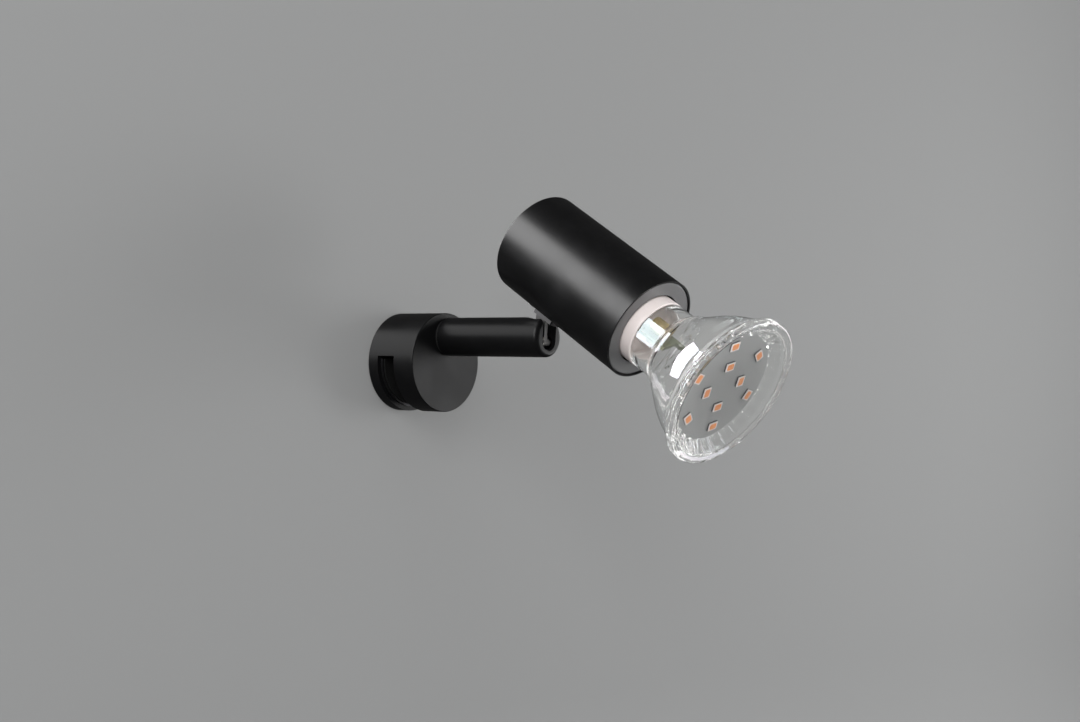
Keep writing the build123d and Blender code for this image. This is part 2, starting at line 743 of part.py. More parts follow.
# ten packages in a ring of four inside a ring of six, each with a shallow recess in its face
package_width = 2.8
package_length = 3.5
package_height = 0.7
package_border = 0.35
package_recess = 0.1
package_place = board_place + 0.02 + board_thickness
inner_ring_radius = 7.3
inner_ring_start = 22
outer_ring_radius = 14.7
outer_ring_start = -5.5
with BuildPart() as led_chips:
    with BuildSketch(head_plane(package_place)):
        with PolarLocations(inner_ring_radius, 4, start_angle=inner_ring_start):
            Rectangle(package_width, package_length)
        with PolarLocations(outer_ring_radius, 6, start_angle=outer_ring_start):
            Rectangle(package_width, package_length)
    extrude(amount=package_height)
    with BuildSketch(head_plane(package_place + package_height - package_recess)):
        with PolarLocations(inner_ring_radius, 4, start_angle=inner_ring_start):
            Rectangle(package_width - 2 * package_border, package_length - 2 * package_border)
        with PolarLocations(outer_ring_radius, 6, start_angle=outer_ring_start):
            Rectangle(package_width - 2 * package_border, package_length - 2 * package_border)
    extrude(amount=package_recess, mode=Mode.SUBTRACT)
save(led_chips, "led_chips")

# driver: a board standing in the neck with its parts on both sides
driver_width = 15.0
driver_length = 17.0
driver_thickness = 1.0
with BuildPart() as driver_board:
    with BuildSketch(head_plane(cavity_floor + 0.2)):
        Rectangle(driver_width, driver_thickness)
    extrude(amount=driver_length)
save(driver_board, "driver_board")

parts_start = 3.5
parts_clear = driver_thickness / 2 + 0.2
capacitor_radius = 2.5
capacitor_length = 8.0
choke_width = 4.6
choke_height = 3.6
choke_length = 6.0
rectifier_width = 6.2
rectifier_height = 1.9
rectifier_length = 5.0
with BuildPart() as driver_parts:
    # capacitor and choke on one side of the board, rectifier on the other
    with BuildSketch(head_plane(parts_start)):
        with Locations((-3.2, parts_clear + capacitor_radius)):
            Circle(capacitor_radius)
    extrude(amount=capacitor_length)
    with BuildSketch(head_plane(parts_start)):
        with Locations((3.6, parts_clear + choke_height / 2)):
            Rectangle(choke_width, choke_height)
    extrude(amount=choke_length)
    with BuildSketch(head_plane(parts_start)):
        with Locations((0, -parts_clear - rectifier_height / 2)):
            Rectangle(rectifier_width, rectifier_height)
    extrude(amount=rectifier_length)
save(driver_parts, "driver_parts")
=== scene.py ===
"""Looks of a small pivoting spotlight with a round base, a swivel arm, a head and a glass lamp."""

import json
import math

import bmesh
import bpy
from mathutils import Euler, Matrix, Vector


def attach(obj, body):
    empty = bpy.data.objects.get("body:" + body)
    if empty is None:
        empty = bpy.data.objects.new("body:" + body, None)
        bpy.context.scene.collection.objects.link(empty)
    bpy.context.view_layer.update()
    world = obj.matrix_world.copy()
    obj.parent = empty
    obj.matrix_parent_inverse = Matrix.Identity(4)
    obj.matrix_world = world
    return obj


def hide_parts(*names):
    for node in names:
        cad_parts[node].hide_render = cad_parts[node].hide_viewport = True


bl_info = {
    "name": "Pivoting Spotlight",
    "version": (1, 0, 0),
    "blender": (4, 5, 0),
    "location": "View3D > Sidebar > Spotlight",
    "description": "Dresses a small pivoting spotlight and its lamp, and sets up its studio",
    "category": "Object",
}

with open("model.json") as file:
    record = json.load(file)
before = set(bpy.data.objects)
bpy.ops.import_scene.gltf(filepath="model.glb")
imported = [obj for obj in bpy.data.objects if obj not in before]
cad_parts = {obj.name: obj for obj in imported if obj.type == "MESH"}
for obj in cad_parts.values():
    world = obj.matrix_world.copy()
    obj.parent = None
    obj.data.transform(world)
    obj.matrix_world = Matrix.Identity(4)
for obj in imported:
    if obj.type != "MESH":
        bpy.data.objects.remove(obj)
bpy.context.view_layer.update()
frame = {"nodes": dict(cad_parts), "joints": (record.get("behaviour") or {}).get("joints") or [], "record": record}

MM = 0.001

# ---- the lamp's place, read from the frame -------------------------------------

LAMP_TWIST = next(joint for joint in frame["joints"] if joint["name"] == "lamp_twist")
ACROSS = Vector((1, 0, 0))


def axis_matrix(origin, ahead):
    """Places a piece whose own Z runs along ahead and whose X stays level."""
    up = ahead.cross(ACROSS)
    turned_to = Matrix((ACROSS, up, ahead)).transposed().to_4x4()
    return Matrix.Translation(origin) @ turned_to


LAMP_PLACE = axis_matrix(Vector(LAMP_TWIST["pos_m"]), Vector(LAMP_TWIST["axis"]).normalized())


# ---- the lamp's sizes in millimetres, with heights along its own axis ----------

COVER_RADIUS = 22.3
COVER_BACK, COVER_FRONT = 35.52, 36.42

# The prisms are a wave round the rim's inner slope, with its tops and its valleys cut flat.
PRISM_COUNT = 28
PRISM_DEPTH = 1.2
PRISM_BOTTOM, PRISM_TOP = 32.3, 35.3
PRISM_REACH = 21.8
PRISM_STEEPNESS = 1.9
PRISM_GAP = 0.6

BOARD_FACE = 31.82
# Each ring of packages: its radius, how many stand on it, and the first one's degrees.
LED_RINGS = ((7.3, 4, 22.0), (14.7, 6, -5.5))
# Each package's foot and frame: (half width, half length, height over the board). The foot is painted near black
# all round, as painted shade at the package's base on the board.
LED_SHADED_FOOT = ((1.4, 1.75, 0.0), (1.4, 1.75, 0.36))
LED_FRAME = ((1.34, 1.69, 0.365), (1.34, 1.69, 0.68), (1.31, 1.66, 0.7), (1.16, 1.5, 0.7),
             (1.12, 1.45, 0.66))
WELL_HALF_WIDTH, WELL_HALF_LENGTH = 1.14, 1.48
WELL_FILL = 0.655
WELL_DOME = 0.04
WELL_STEPS = 8


# ---- the studio's places in metres, and its levels, where 1 is white -----------

WALL_GAP = 0.0006
WALL_TOP = 1.2
WALL_LEFT, WALL_RIGHT = -0.35, 2.2
FLOOR_FRONT = -2.0
SWEEP_RADIUS = 0.12
SWEEP_STEPS = 12
WALL_GLOW = 0.105
WALL_GLOW_THROUGH_GLASS = 0.16

# The lights look at one point, and each side is the direction from there to a light.
LIGHT_AIM = Vector((0, -0.08, 0.01))
KEY_SIDE = (-0.62, 0.62, 0.54)
FILL_SIDE = (0.78, -0.62, 0.07)
FRONT_SIDE = (-0.85, -0.45, 0.25)
TOP_SIDE = (-0.3, -0.5, 0.8)
NECK_SIDE = (-0.82, 0.41, 0.39)
BOWL_SIDE = (-0.33, 0.78, 0.53)
NEAR_SIDE = (-0.65, 0.65, 0.4)
EDGE_SIDE = (-0.93, 0.13, 0.34)
CARD_DISTANCE = 0.75
SIDE_DISTANCE = 0.8
FAR_DISTANCE = 0.9
TOP_BRIGHTNESS = 1.2

# The pieces near the wall and the clear ones have cards of their own to reflect.
NEAR_WALL = ("base_housing", "arm_tube", "clamp_plate", "clamp_pad_front", "clamp_pad_rear",
             "hinge_bracket", "hinge_nut", "hinge_washer", "hinge_bush", "hinge_spring_washer")
CLEAR_PIECES = ("lamp_glass_body", "lamp_front_cover")

SKY_LEVEL = 0.35
SKY_LESS_IN_GLOSS = -0.3
# Through glass the sky is brighter, and least so out in the room, where Y is near -1.
SKY_ROOM, SKY_SIDES = -0.95, -0.35
SKY_MORE_IN_ROOM, SKY_MORE_AT_SIDES = 0.1, 0.75

# The camera's turns about X, Y and Z are in degrees, and its sensor in millimetres.
CAMERA_POINT = (-0.4086775, -0.3888349, -0.0329564)
CAMERA_TURN = (93.714328, -3.788647, -51.501443)
CAMERA_SENSOR = 36.0


# ---- outlines ------------------------------------------------------------------

def rounded(corners, steps=6):
    """Points along a closed outline of (x, y, radius) corners, with each corner rounded."""
    points = []
    count = len(corners)
    for index, (x, y, radius) in enumerate(corners):
        here = Vector((x, y))
        if not radius:
            points.append(here)
            continue
        before = (Vector(corners[index - 1][:2]) - here).normalized()
        after = (Vector(corners[(index + 1) % count][:2]) - here).normalized()
        half = before.angle(after) / 2
        centre = here + (before + after).normalized() * (radius / math.sin(half))
        start = here + before * (radius / math.tan(half)) - centre
        end = here + after * (radius / math.tan(half)) - centre
        turn = start.angle_signed(end)
        for step in range(steps + 1):
            angle = -turn * step / steps
            points.append(centre + Matrix.Rotation(angle, 2) @ start)
    return points


def flowing(knots, steps=8):
    """Corners without radius along a smooth curve through the knots."""
    knots = [Vector(knot) for knot in knots]
    ends = [2 * knots[0] - knots[1], *knots, 2 * knots[-1] - knots[-2]]
    corners = []
    for index in range(1, len(ends) - 2):
        a, b, c, d = ends[index - 1:index + 3]
        for step in range(steps):
            t = step / steps
            point = 0.5 * (2 * b + (c - a) * t + (2 * a - 5 * b + 4 * c - d) * t ** 2
                           + (3 * b - a - 3 * c + d) * t ** 3)
            corners.append((point.x, point.y, 0))
    corners.append((knots[-1].x, knots[-1].y, 0))
    return corners


def supported(outline, near=0.12):
    """The closed outline with points close to both ends of its long stretches.

    They keep the shading of a flat or straight wall even up to its edges.
    """
    points = []
    for index, (x, y) in enumerate(outline):
        here = Vector((x, y))
        step = Vector(outline[(index + 1) % len(outline)][:2]) - here
        points.append(here)
        if step.length > 3 * near:
            points += [here + step.normalized() * near, here + step - step.normalized() * near]
    return points


# ---- meshes --------------------------------------------------------------------

ON_AXIS = 1e-6
SAME_POINT = 1e-7
EDGE_ANGLE = 35


def linked(name, mesh):
    """A new object of this mesh, linked to the scene."""
    obj = bpy.data.objects.new(name, mesh)
    bpy.context.scene.collection.objects.link(obj)
    return obj


def mesh_object(name, verts, faces, place, smooth_angle):
    """A new object from points in millimetres, put in its place by a matrix."""
    mesh = bpy.data.meshes.new(name)
    mesh.from_pydata([place @ (Vector(v) * MM) for v in verts], [], faces)
    mesh.validate()
    shape = bmesh.new()
    shape.from_mesh(mesh)
    bmesh.ops.remove_doubles(shape, verts=shape.verts, dist=SAME_POINT)
    bmesh.ops.recalc_face_normals(shape, faces=shape.faces)
    shape.to_mesh(mesh)
    shape.free()
    obj = linked(name, mesh)
    smooth(obj, smooth_angle)
    return obj


def smooth(obj, angle=EDGE_ANGLE):
    """Smooth shading with sharp edges where faces meet at more than the angle."""
    obj.data.polygons.foreach_set("use_smooth", [True] * len(obj.data.polygons))
    obj.data.set_sharp_from_angle(angle=math.radians(angle))
    obj.data.update()


def turned(name, outline, place, segments=160, smooth_angle=EDGE_ANGLE, wave=None):
    """A piece turned round its own Z from a closed outline of (radius, height) points.

    wave(angle, radius, height) gives another radius where the piece isn't round.
    """
    outline = supported(outline)
    verts = []
    for segment in range(segments):
        angle = 2 * math.pi * segment / segments
        for radius, height in outline:
            r = wave(angle, radius, height) if wave else radius
            verts.append((r * math.cos(angle), r * math.sin(angle), height))
    faces = []
    count = len(outline)
    for segment in range(segments):
        here = segment * count
        beside = (segment + 1) % segments * count
        for i in range(count):
            j = (i + 1) % count
            if outline[i][0] < ON_AXIS and outline[j][0] < ON_AXIS:
                continue
            faces.append((here + i, here + j, beside + j, beside + i))
    return mesh_object(name, verts, faces, place, smooth_angle)


def joined(name, meshes):
    """One object from several meshes, which are used up."""
    shape = bmesh.new()
    for mesh in meshes:
        shape.from_mesh(mesh)
        bpy.data.meshes.remove(mesh)
    whole = bpy.data.meshes.new(name)
    shape.to_mesh(whole)
    shape.free()
    obj = linked(name, whole)
    smooth(obj)
    return obj


def dress(obj, body, slot, material, *nodes):
    """Gives a piece its finish, its body and the nodes that it stands for; slot is not used."""
    obj.data.materials.clear()
    obj.data.materials.append(material)
    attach(obj, body)
    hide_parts(*nodes)


def finish_node(name, material):
    """Gives a node of the frame a finish."""
    for material_slot in frame["nodes"][name].material_slots:
        material_slot.material = material


# ---- node groups ---------------------------------------------------------------

# Sizes of the noises, in spots per metre.
SMUDGES = 55.0
DUST_CLOUDS = 130.0
DUST_SPECKS = 2400.0
GLASS_FILM = 160.0
GLASS_RIPPLE = 260.0
# The grain's noises: the fine one in spots per grain, and the coarse one beside it.
FINE_GRAIN = 0.45
COARSE_GRAIN = 0.31


def new_group(name, inputs, outputs):
    """An empty shader group with named inputs and outputs, and the nodes at its two ends."""
    group = bpy.data.node_groups.new(name, "ShaderNodeTree")
    for label, kind, default in inputs:
        socket = group.interface.new_socket(label, in_out="INPUT", socket_type=kind)
        socket.default_value = default
    for label, kind in outputs:
        group.interface.new_socket(label, in_out="OUTPUT", socket_type=kind)
    start = group.nodes.new("NodeGroupInput")
    end = group.nodes.new("NodeGroupOutput")
    return group, start, end


def noise(tree, vector, scale, detail=3.0, rough=0.5):
    """A noise texture's value; scale is a socket or a number."""
    node = tree.nodes.new("ShaderNodeTexNoise")
    node.inputs["Detail"].default_value = detail
    node.inputs["Roughness"].default_value = rough
    tree.links.new(vector, node.inputs["Vector"])
    if isinstance(scale, (int, float)):
        node.inputs["Scale"].default_value = scale
    else:
        tree.links.new(scale, node.inputs["Scale"])
    return node.outputs["Fac"]


def maths(tree, operation, a, b, clamp=False):
    """A math node's value; a and b are sockets or numbers."""
    node = tree.nodes.new("ShaderNodeMath")
    node.operation = operation
    node.use_clamp = clamp
    for index, value in enumerate((a, b)):
        if isinstance(value, (int, float)):
            node.inputs[index].default_value = value
        else:
            tree.links.new(value, node.inputs[index])
    return node.outputs[0]


def ramp(tree, value, low, high, to_low=0.0, to_high=1.0):
    """Maps a value from one range to another, clamped."""
    node = tree.nodes.new("ShaderNodeMapRange")
    node.inputs["From Min"].default_value = low
    node.inputs["From Max"].default_value = high
    node.inputs["To Min"].default_value = to_low
    node.inputs["To Max"].default_value = to_high
    tree.links.new(value, node.inputs["Value"])
    return node.outputs["Result"]


def mix_colour(tree, factor, a, b):
    """Mixes two colours, given as sockets or tuples."""
    node = tree.nodes.new("ShaderNodeMix")
    node.data_type = "RGBA"
    tree.links.new(factor, node.inputs["Factor"])
    for socket, value in ((node.inputs[6], a), (node.inputs[7], b)):
        if isinstance(value, tuple):
            socket.default_value = (*value, 1.0)
        else:
            tree.links.new(value, socket)
    return node.outputs[2]


def mix_shaders(tree, factor, below, above):
    """Mixes two shaders by a factor and makes them the material's surface."""
    node = tree.nodes.new("ShaderNodeMixShader")
    tree.links.new(factor, node.inputs["Fac"])
    tree.links.new(below.outputs["BSDF"], node.inputs[1])
    tree.links.new(above.outputs["BSDF"], node.inputs[2])
    tree.links.new(node.outputs[0], tree.nodes["Material Output"].inputs["Surface"])


def object_coordinates(tree):
    """Coordinates that stay with the object, in metres."""
    return tree.nodes.new("ShaderNodeTexCoord").outputs["Object"]


def skin_group():
    """Fine grain of a coated or moulded surface, with faint handling marks."""
    group, start, end = new_group(
        "Surface Grain",
        [("Colour", "NodeSocketColor", (0.02, 0.02, 0.02, 1)),
         ("Worn Colour", "NodeSocketColor", (0.05, 0.05, 0.05, 1)),
         ("Grain Size", "NodeSocketFloat", 0.0003),
         ("Roughness", "NodeSocketFloat", 0.4),
         ("Roughness Spread", "NodeSocketFloat", 0.08),
         ("Marks", "NodeSocketFloat", 0.3)],
        [("Colour", "NodeSocketColor"), ("Roughness", "NodeSocketFloat"),
         ("Height", "NodeSocketFloat")])
    where = object_coordinates(group)
    scale = maths(group, "DIVIDE", FINE_GRAIN, start.outputs["Grain Size"])
    fine = noise(group, where, scale, detail=2.0)
    coarse_scale = maths(group, "MULTIPLY", scale, COARSE_GRAIN)
    coarse = noise(group, where, coarse_scale, detail=1.0)
    patches = noise(group, where, SMUDGES, detail=4.0, rough=0.62)
    smudge = ramp(group, patches, 0.42, 0.7)
    height = maths(group, "ADD", maths(group, "MULTIPLY", fine, 0.6),
                   maths(group, "MULTIPLY", coarse, 0.4))
    shift = maths(group, "SUBTRACT", smudge, 0.4)
    spread = maths(group, "MULTIPLY", shift, start.outputs["Roughness Spread"])
    speckle = maths(group, "MULTIPLY", maths(group, "SUBTRACT", fine, 0.5),
                    start.outputs["Roughness Spread"])
    roughness = maths(group, "ADD", maths(group, "ADD", start.outputs["Roughness"], spread),
                      speckle, clamp=True)
    worn = maths(group, "MULTIPLY", smudge, start.outputs["Marks"], clamp=True)
    colour = mix_colour(group, worn, start.outputs["Colour"], start.outputs["Worn Colour"])
    group.links.new(colour, end.inputs["Colour"])
    group.links.new(roughness, end.inputs["Roughness"])
    group.links.new(height, end.inputs["Height"])
    return group


def dust_group():
    """A mask of fine dust that lies on faces which look up."""
    group, start, end = new_group(
        "Settled Dust",
        [("Amount", "NodeSocketFloat", 0.3)],
        [("Mask", "NodeSocketFloat")])
    where = object_coordinates(group)
    specks = ramp(group, noise(group, where, DUST_SPECKS, detail=4.0, rough=0.7), 0.52, 0.72)
    cloud = ramp(group, noise(group, where, DUST_CLOUDS), 0.35, 0.75)
    facing = group.nodes.new("ShaderNodeSeparateXYZ")
    geometry = group.nodes.new("ShaderNodeNewGeometry")
    group.links.new(geometry.outputs["Normal"], facing.inputs[0])
    up = ramp(group, facing.outputs["Z"], 0.1, 1.0)
    mask = maths(group, "MULTIPLY", maths(group, "MULTIPLY", specks, cloud),
                 maths(group, "MULTIPLY", up, start.outputs["Amount"]), clamp=True)
    group.links.new(mask, end.inputs["Mask"])
    return group


GROUPS = {}


def use_group(tree, maker, **values):
    """Places a shared group in a material with this material's own values."""
    if maker not in GROUPS:
        GROUPS[maker] = maker()
    node = tree.nodes.new("ShaderNodeGroup")
    node.node_tree = GROUPS[maker]
    for label, value in values.items():
        socket = node.inputs[label.replace("_", " ")]
        socket.default_value = (*value, 1.0) if isinstance(value, tuple) else value
    return node


# ---- materials -----------------------------------------------------------------

DUST_TONE = (0.32, 0.31, 0.3)
GLASS_IOR = 1.5
# A film far thinner than a hair, which only tints what the glass reflects.
FILM_NANOMETRES = 420.0
FILM_IOR = 1.53
HAZIEST_GLASS = 0.03
RIPPLE_MM = 0.006


def principled(name):
    """A new material, its node tree and its principled shader."""
    material = bpy.data.materials.new(name)
    material.use_nodes = True
    tree = material.node_tree
    return material, tree, tree.nodes["Principled BSDF"]


def bump(tree, shader, height, depth_mm):
    """Raises a surface by a height of up to so many millimetres."""
    node = tree.nodes.new("ShaderNodeBump")
    node.inputs["Strength"].default_value = 1.0
    node.inputs["Distance"].default_value = depth_mm * MM
    tree.links.new(height, node.inputs["Height"])
    tree.links.new(node.outputs["Normal"], shader.inputs["Normal"])


def coated(name, colour, worn, roughness, spread=0.08, grain_mm=0.3, depth_mm=0.006,
           metallic=0.0, marks=0.3, dust=0.0, specular=0.5):
    """A finish with fine grain, faint marks and, where asked, dust on top."""
    material, tree, shader = principled(name)
    grain = use_group(tree, skin_group, Colour=colour, Worn_Colour=worn,
                      Grain_Size=grain_mm * MM, Roughness=roughness,
                      Roughness_Spread=spread, Marks=marks)
    shader.inputs["Metallic"].default_value = metallic
    shader.inputs["Specular IOR Level"].default_value = specular
    tone = grain.outputs["Colour"]
    if dust:
        layer = use_group(tree, dust_group, Amount=dust)
        tone = mix_colour(tree, layer.outputs["Mask"], tone, DUST_TONE)
    tree.links.new(tone, shader.inputs["Base Color"])
    tree.links.new(grain.outputs["Roughness"], shader.inputs["Roughness"])
    bump(tree, shader, grain.outputs["Height"], depth_mm)
    return material


def clear_glass(name, tint):
    """Clear pressed glass with a faint waviness from its mould, which casts no shadow."""
    material, tree, shader = principled(name)
    shader.inputs["Base Color"].default_value = (*tint, 1.0)
    shader.inputs["Transmission Weight"].default_value = 1.0
    shader.inputs["IOR"].default_value = GLASS_IOR
    shader.inputs["Thin Film Thickness"].default_value = FILM_NANOMETRES
    shader.inputs["Thin Film IOR"].default_value = FILM_IOR
    where = object_coordinates(tree)
    haze = ramp(tree, noise(tree, where, GLASS_FILM), 0.5, 0.75, 0.0, HAZIEST_GLASS)
    tree.links.new(haze, shader.inputs["Roughness"])
    bump(tree, shader, noise(tree, where, GLASS_RIPPLE, detail=1.0), RIPPLE_MM)
    clear = tree.nodes.new("ShaderNodeBsdfTransparent")
    path = tree.nodes.new("ShaderNodeLightPath")
    mix_shaders(tree, path.outputs["Is Shadow Ray"], shader, clear)
    return material


FINISHES = {}


def finish(name):
    """The shared material of this name, made when it is first asked for."""
    colours = bpy.context.scene.spotlight_colours
    recipes = {
        "black_coat": lambda: coated("Black Powder Coat", tuple(colours.coat),
                                     (0.01, 0.01, 0.011), 0.35, grain_mm=0.35,
                                     depth_mm=0.005, dust=0.08, specular=0.2),
        "grey_disc": lambda: coated("Grey Lacquer", tuple(colours.disc), (0.19, 0.19, 0.194),
                                    0.38, grain_mm=0.25, depth_mm=0.003),
        "zinc": lambda: coated("Dull Zinc Plate", (0.1, 0.1, 0.105), (0.05, 0.048, 0.044),
                               0.34, spread=0.2, grain_mm=0.5, depth_mm=0.004,
                               metallic=1.0, marks=0.7),
        "blackened_steel": lambda: coated("Blackened Steel", (0.05, 0.05, 0.055),
                                          (0.12, 0.11, 0.1), 0.35, metallic=0.9),
        "spring_steel": lambda: coated("Spring Steel", (0.4, 0.39, 0.37), (0.2, 0.17, 0.13),
                                       0.3, metallic=1.0, marks=0.6),
        "pad_rubber": lambda: coated("Pad Rubber", (0.008, 0.008, 0.008), (0.02, 0.02, 0.02),
                                     0.8, grain_mm=0.5, depth_mm=0.02, specular=0.1),
        "black_plastic": lambda: coated("Black Nylon", (0.02, 0.02, 0.02), (0.04, 0.04, 0.04),
                                        0.5, grain_mm=0.4, depth_mm=0.01),
        "white_nylon": lambda: coated("Natural Nylon", (0.7, 0.68, 0.62), (0.6, 0.56, 0.48),
                                      0.45, grain_mm=0.4, depth_mm=0.01),
        "ceramic": lambda: coated("Steatite", (0.72, 0.69, 0.62), (0.62, 0.58, 0.5), 0.55,
                                  grain_mm=0.3, depth_mm=0.02),
        "contact_brass": lambda: coated("Contact Brass", (0.75, 0.56, 0.28), (0.5, 0.34, 0.14),
                                        0.3, metallic=1.0, marks=0.6),
        "wire_cover": lambda: coated("Wire Cover", (0.3, 0.16, 0.08), (0.25, 0.14, 0.08), 0.35,
                                     grain_mm=0.5, depth_mm=0.004),
        "lamp_white": lambda: coated("Lamp White", tuple(colours.lamp_base), (0.76, 0.68, 0.66),
                                     0.32, grain_mm=0.6, depth_mm=0.008, marks=0.4),
        "pin_metal": lambda: coated("Nickel Plate", (0.66, 0.64, 0.6), (0.5, 0.47, 0.42), 0.24,
                                    metallic=1.0, marks=0.5),
        "clear_glass": lambda: clear_glass("Pressed Glass", tuple(colours.glass)),
        "board_white": lambda: coated("Solder Mask", tuple(colours.board), (0.25, 0.25, 0.252),
                                      0.45, grain_mm=0.2, depth_mm=0.004),
        "phosphor": lambda: coated("Phosphor", tuple(colours.phosphor), (0.62, 0.2, 0.05), 0.3,
                                   grain_mm=0.12, depth_mm=0.01, marks=0.8),
        "package_white": lambda: coated("Package White", (0.62, 0.56, 0.55), (0.52, 0.47, 0.46),
                                        0.4, grain_mm=0.2, depth_mm=0.004, marks=0.4),
        # The package feet get this near-black colour as painted shade at their base, not as a dark body.
        "package_foot_shade": lambda: coated("Package Foot Painted Shade", (0.01, 0.011, 0.015), (0.03, 0.03, 0.03),
                                       0.4, grain_mm=0.2, depth_mm=0.004),
        "board_green": lambda: coated("Circuit Laminate", (0.07, 0.08, 0.04), (0.16, 0.14, 0.07),
                                      0.4, grain_mm=0.25, depth_mm=0.01, marks=0.8),
        "component_body": lambda: coated("Component Body", (0.2, 0.15, 0.06), (0.1, 0.07, 0.03),
                                         0.3, grain_mm=0.4, depth_mm=0.006),
    }
    if name not in FINISHES:
        FINISHES[name] = recipes[name]()
    return FINISHES[name]


# ---- properties ----------------------------------------------------------------

class SpotlightColours(bpy.types.PropertyGroup):
    """Colours of the finishes."""

    coat: bpy.props.FloatVectorProperty(
        name="Powder coat", description="Black coat of base, arm and head",
        subtype="COLOR", default=(0.004, 0.004, 0.0043), min=0, max=1)
    disc: bpy.props.FloatVectorProperty(
        name="Front disc", description="Lacquer of the disc round the lamp",
        subtype="COLOR", default=(0.155, 0.155, 0.158), min=0, max=1)
    lamp_base: bpy.props.FloatVectorProperty(
        name="Lamp base", description="Moulded base of the lamp",
        subtype="COLOR", default=(0.84, 0.76, 0.74), min=0, max=1)
    glass: bpy.props.FloatVectorProperty(
        name="Glass", description="Tint of the lamp's glass",
        subtype="COLOR", default=(0.985, 0.985, 0.98), min=0, max=1)
    board: bpy.props.FloatVectorProperty(
        name="Board", description="Coat of the round circuit board",
        subtype="COLOR", default=(0.23, 0.23, 0.232), min=0, max=1)
    phosphor: bpy.props.FloatVectorProperty(
        name="Phosphor", description="Face of the light-emitting chips",
        subtype="COLOR", default=(0.74, 0.25, 0.06), min=0, max=1)


class SpotlightStudio(bpy.types.PropertyGroup):
    """Camera, background and lights."""

    wall: bpy.props.FloatVectorProperty(
        name="Wall", description="Colour of the wall behind the light",
        subtype="COLOR", default=(0.2, 0.203, 0.203), min=0, max=1)
    floor_height: bpy.props.FloatProperty(
        name="Floor", description="Height of the floor below the light",
        default=-0.24, unit="LENGTH")
    lens: bpy.props.FloatProperty(
        name="Lens", description="Focal length of the camera in millimetres", default=54.27)
    key: bpy.props.FloatProperty(
        name="Key light", description="Brightness of the light on the left", default=4.0)
    key_card: bpy.props.FloatProperty(
        name="Key card", description="Brightness of the left light as gloss shows it",
        default=14.0)
    glass_card: bpy.props.FloatProperty(
        name="Glass cards", description="Brightness of the strips that the glass shows",
        default=17.0)
    near_card: bpy.props.FloatProperty(
        name="Near card", description="Brightness of the left light on the base and the arm",
        default=1.9)
    edge_card: bpy.props.FloatProperty(
        name="Edge card", description="Brightness of the strip light on the edges of the "
        "base and the arm", default=12.0)
    front: bpy.props.FloatProperty(
        name="Front light", description="Brightness of the light beside the camera", default=7.5)
    fill: bpy.props.FloatProperty(
        name="Fill light", description="Brightness of the light on the right", default=8.0)
    fill_card: bpy.props.FloatProperty(
        name="Fill card", description="Brightness of the right light as gloss shows it",
        default=5.0)


# ---- operators -----------------------------------------------------------------

class SPOTLIGHT_OT_lamp_glass(bpy.types.Operator):
    """Turns the lamp's glass body and its front cover"""

    bl_idname = "spotlight.lamp_glass"
    bl_label = "Lamp Glass"

    def execute(self, context):
        flare = flowing([(13.4, 15.1), (15.2, 17.8), (16.7, 20.0), (18.9, 23.3), (20.8, 27.0),
                         (22.2, 30.6), (22.9, 33.4)])
        inside = flowing([(17.4, 30.8), (16.0, 25.6), (13.4, 19.5), (11.6, 15.7), (10.0, 12.3),
                          (9.2, 10.4)])
        corners = [(10.2, 0.4, 0.1), (10.2, 3.65, 0.1), (11.05, 3.65, 0.25), (11.35, 4.2, 0.2),
                   (11.35, 11.7, 0.15), (11.9, 11.95, 0.2), (12.0, 12.5, 0.25),
                   (11.8, 12.85, 0.15), (12.65, 13.8, 0.15), (13.15, 13.95, 0.2),
                   (13.35, 14.5, 0.2), *flare,
                   (24.5, 34.2, 0.7), (25.0, 35.0, 0.35), (24.75, 35.5, 0.2),
                   (24.93, 36.05, 0.35), (24.35, 36.86, 0.4), (23.5, 36.92, 0.25),
                   (22.5, 36.5, 0.15), (22.4, 35.5, 0), (21.6, 35.5, 0.2), (19.3, 32.6, 0.3),
                   (18.75, 32.0, 0.2), (18.75, 30.8, 0), *inside, (9.2, 0.4, 0.1)]
        glass = turned("lamp_glass_body", rounded(corners), LAMP_PLACE, segments=288,
                       smooth_angle=50, wave=self.prisms)
        dress(glass, "lamp", "clear_glass", finish("clear_glass"), "lamp_glass")
        disc = rounded([(0, COVER_BACK, 0), (COVER_RADIUS, COVER_BACK, 0.1),
                        (COVER_RADIUS, COVER_FRONT, 0.15), (0, COVER_FRONT, 0)])
        cover = turned("lamp_front_cover", disc, LAMP_PLACE)
        dress(cover, "lamp", "clear_glass", finish("clear_glass"), "lamp_cover")
        return {"FINISHED"}

    @staticmethod
    def prisms(angle, radius, height):
        """Stands short prisms on the sloping wall between the board and the cover."""
        if not (PRISM_BOTTOM < height < PRISM_TOP and radius < PRISM_REACH):
            return radius
        swell = PRISM_STEEPNESS * abs(math.sin(PRISM_COUNT / 2 * angle)) - PRISM_GAP
        return radius - PRISM_DEPTH * min(max(swell, 0.0), 1.0)


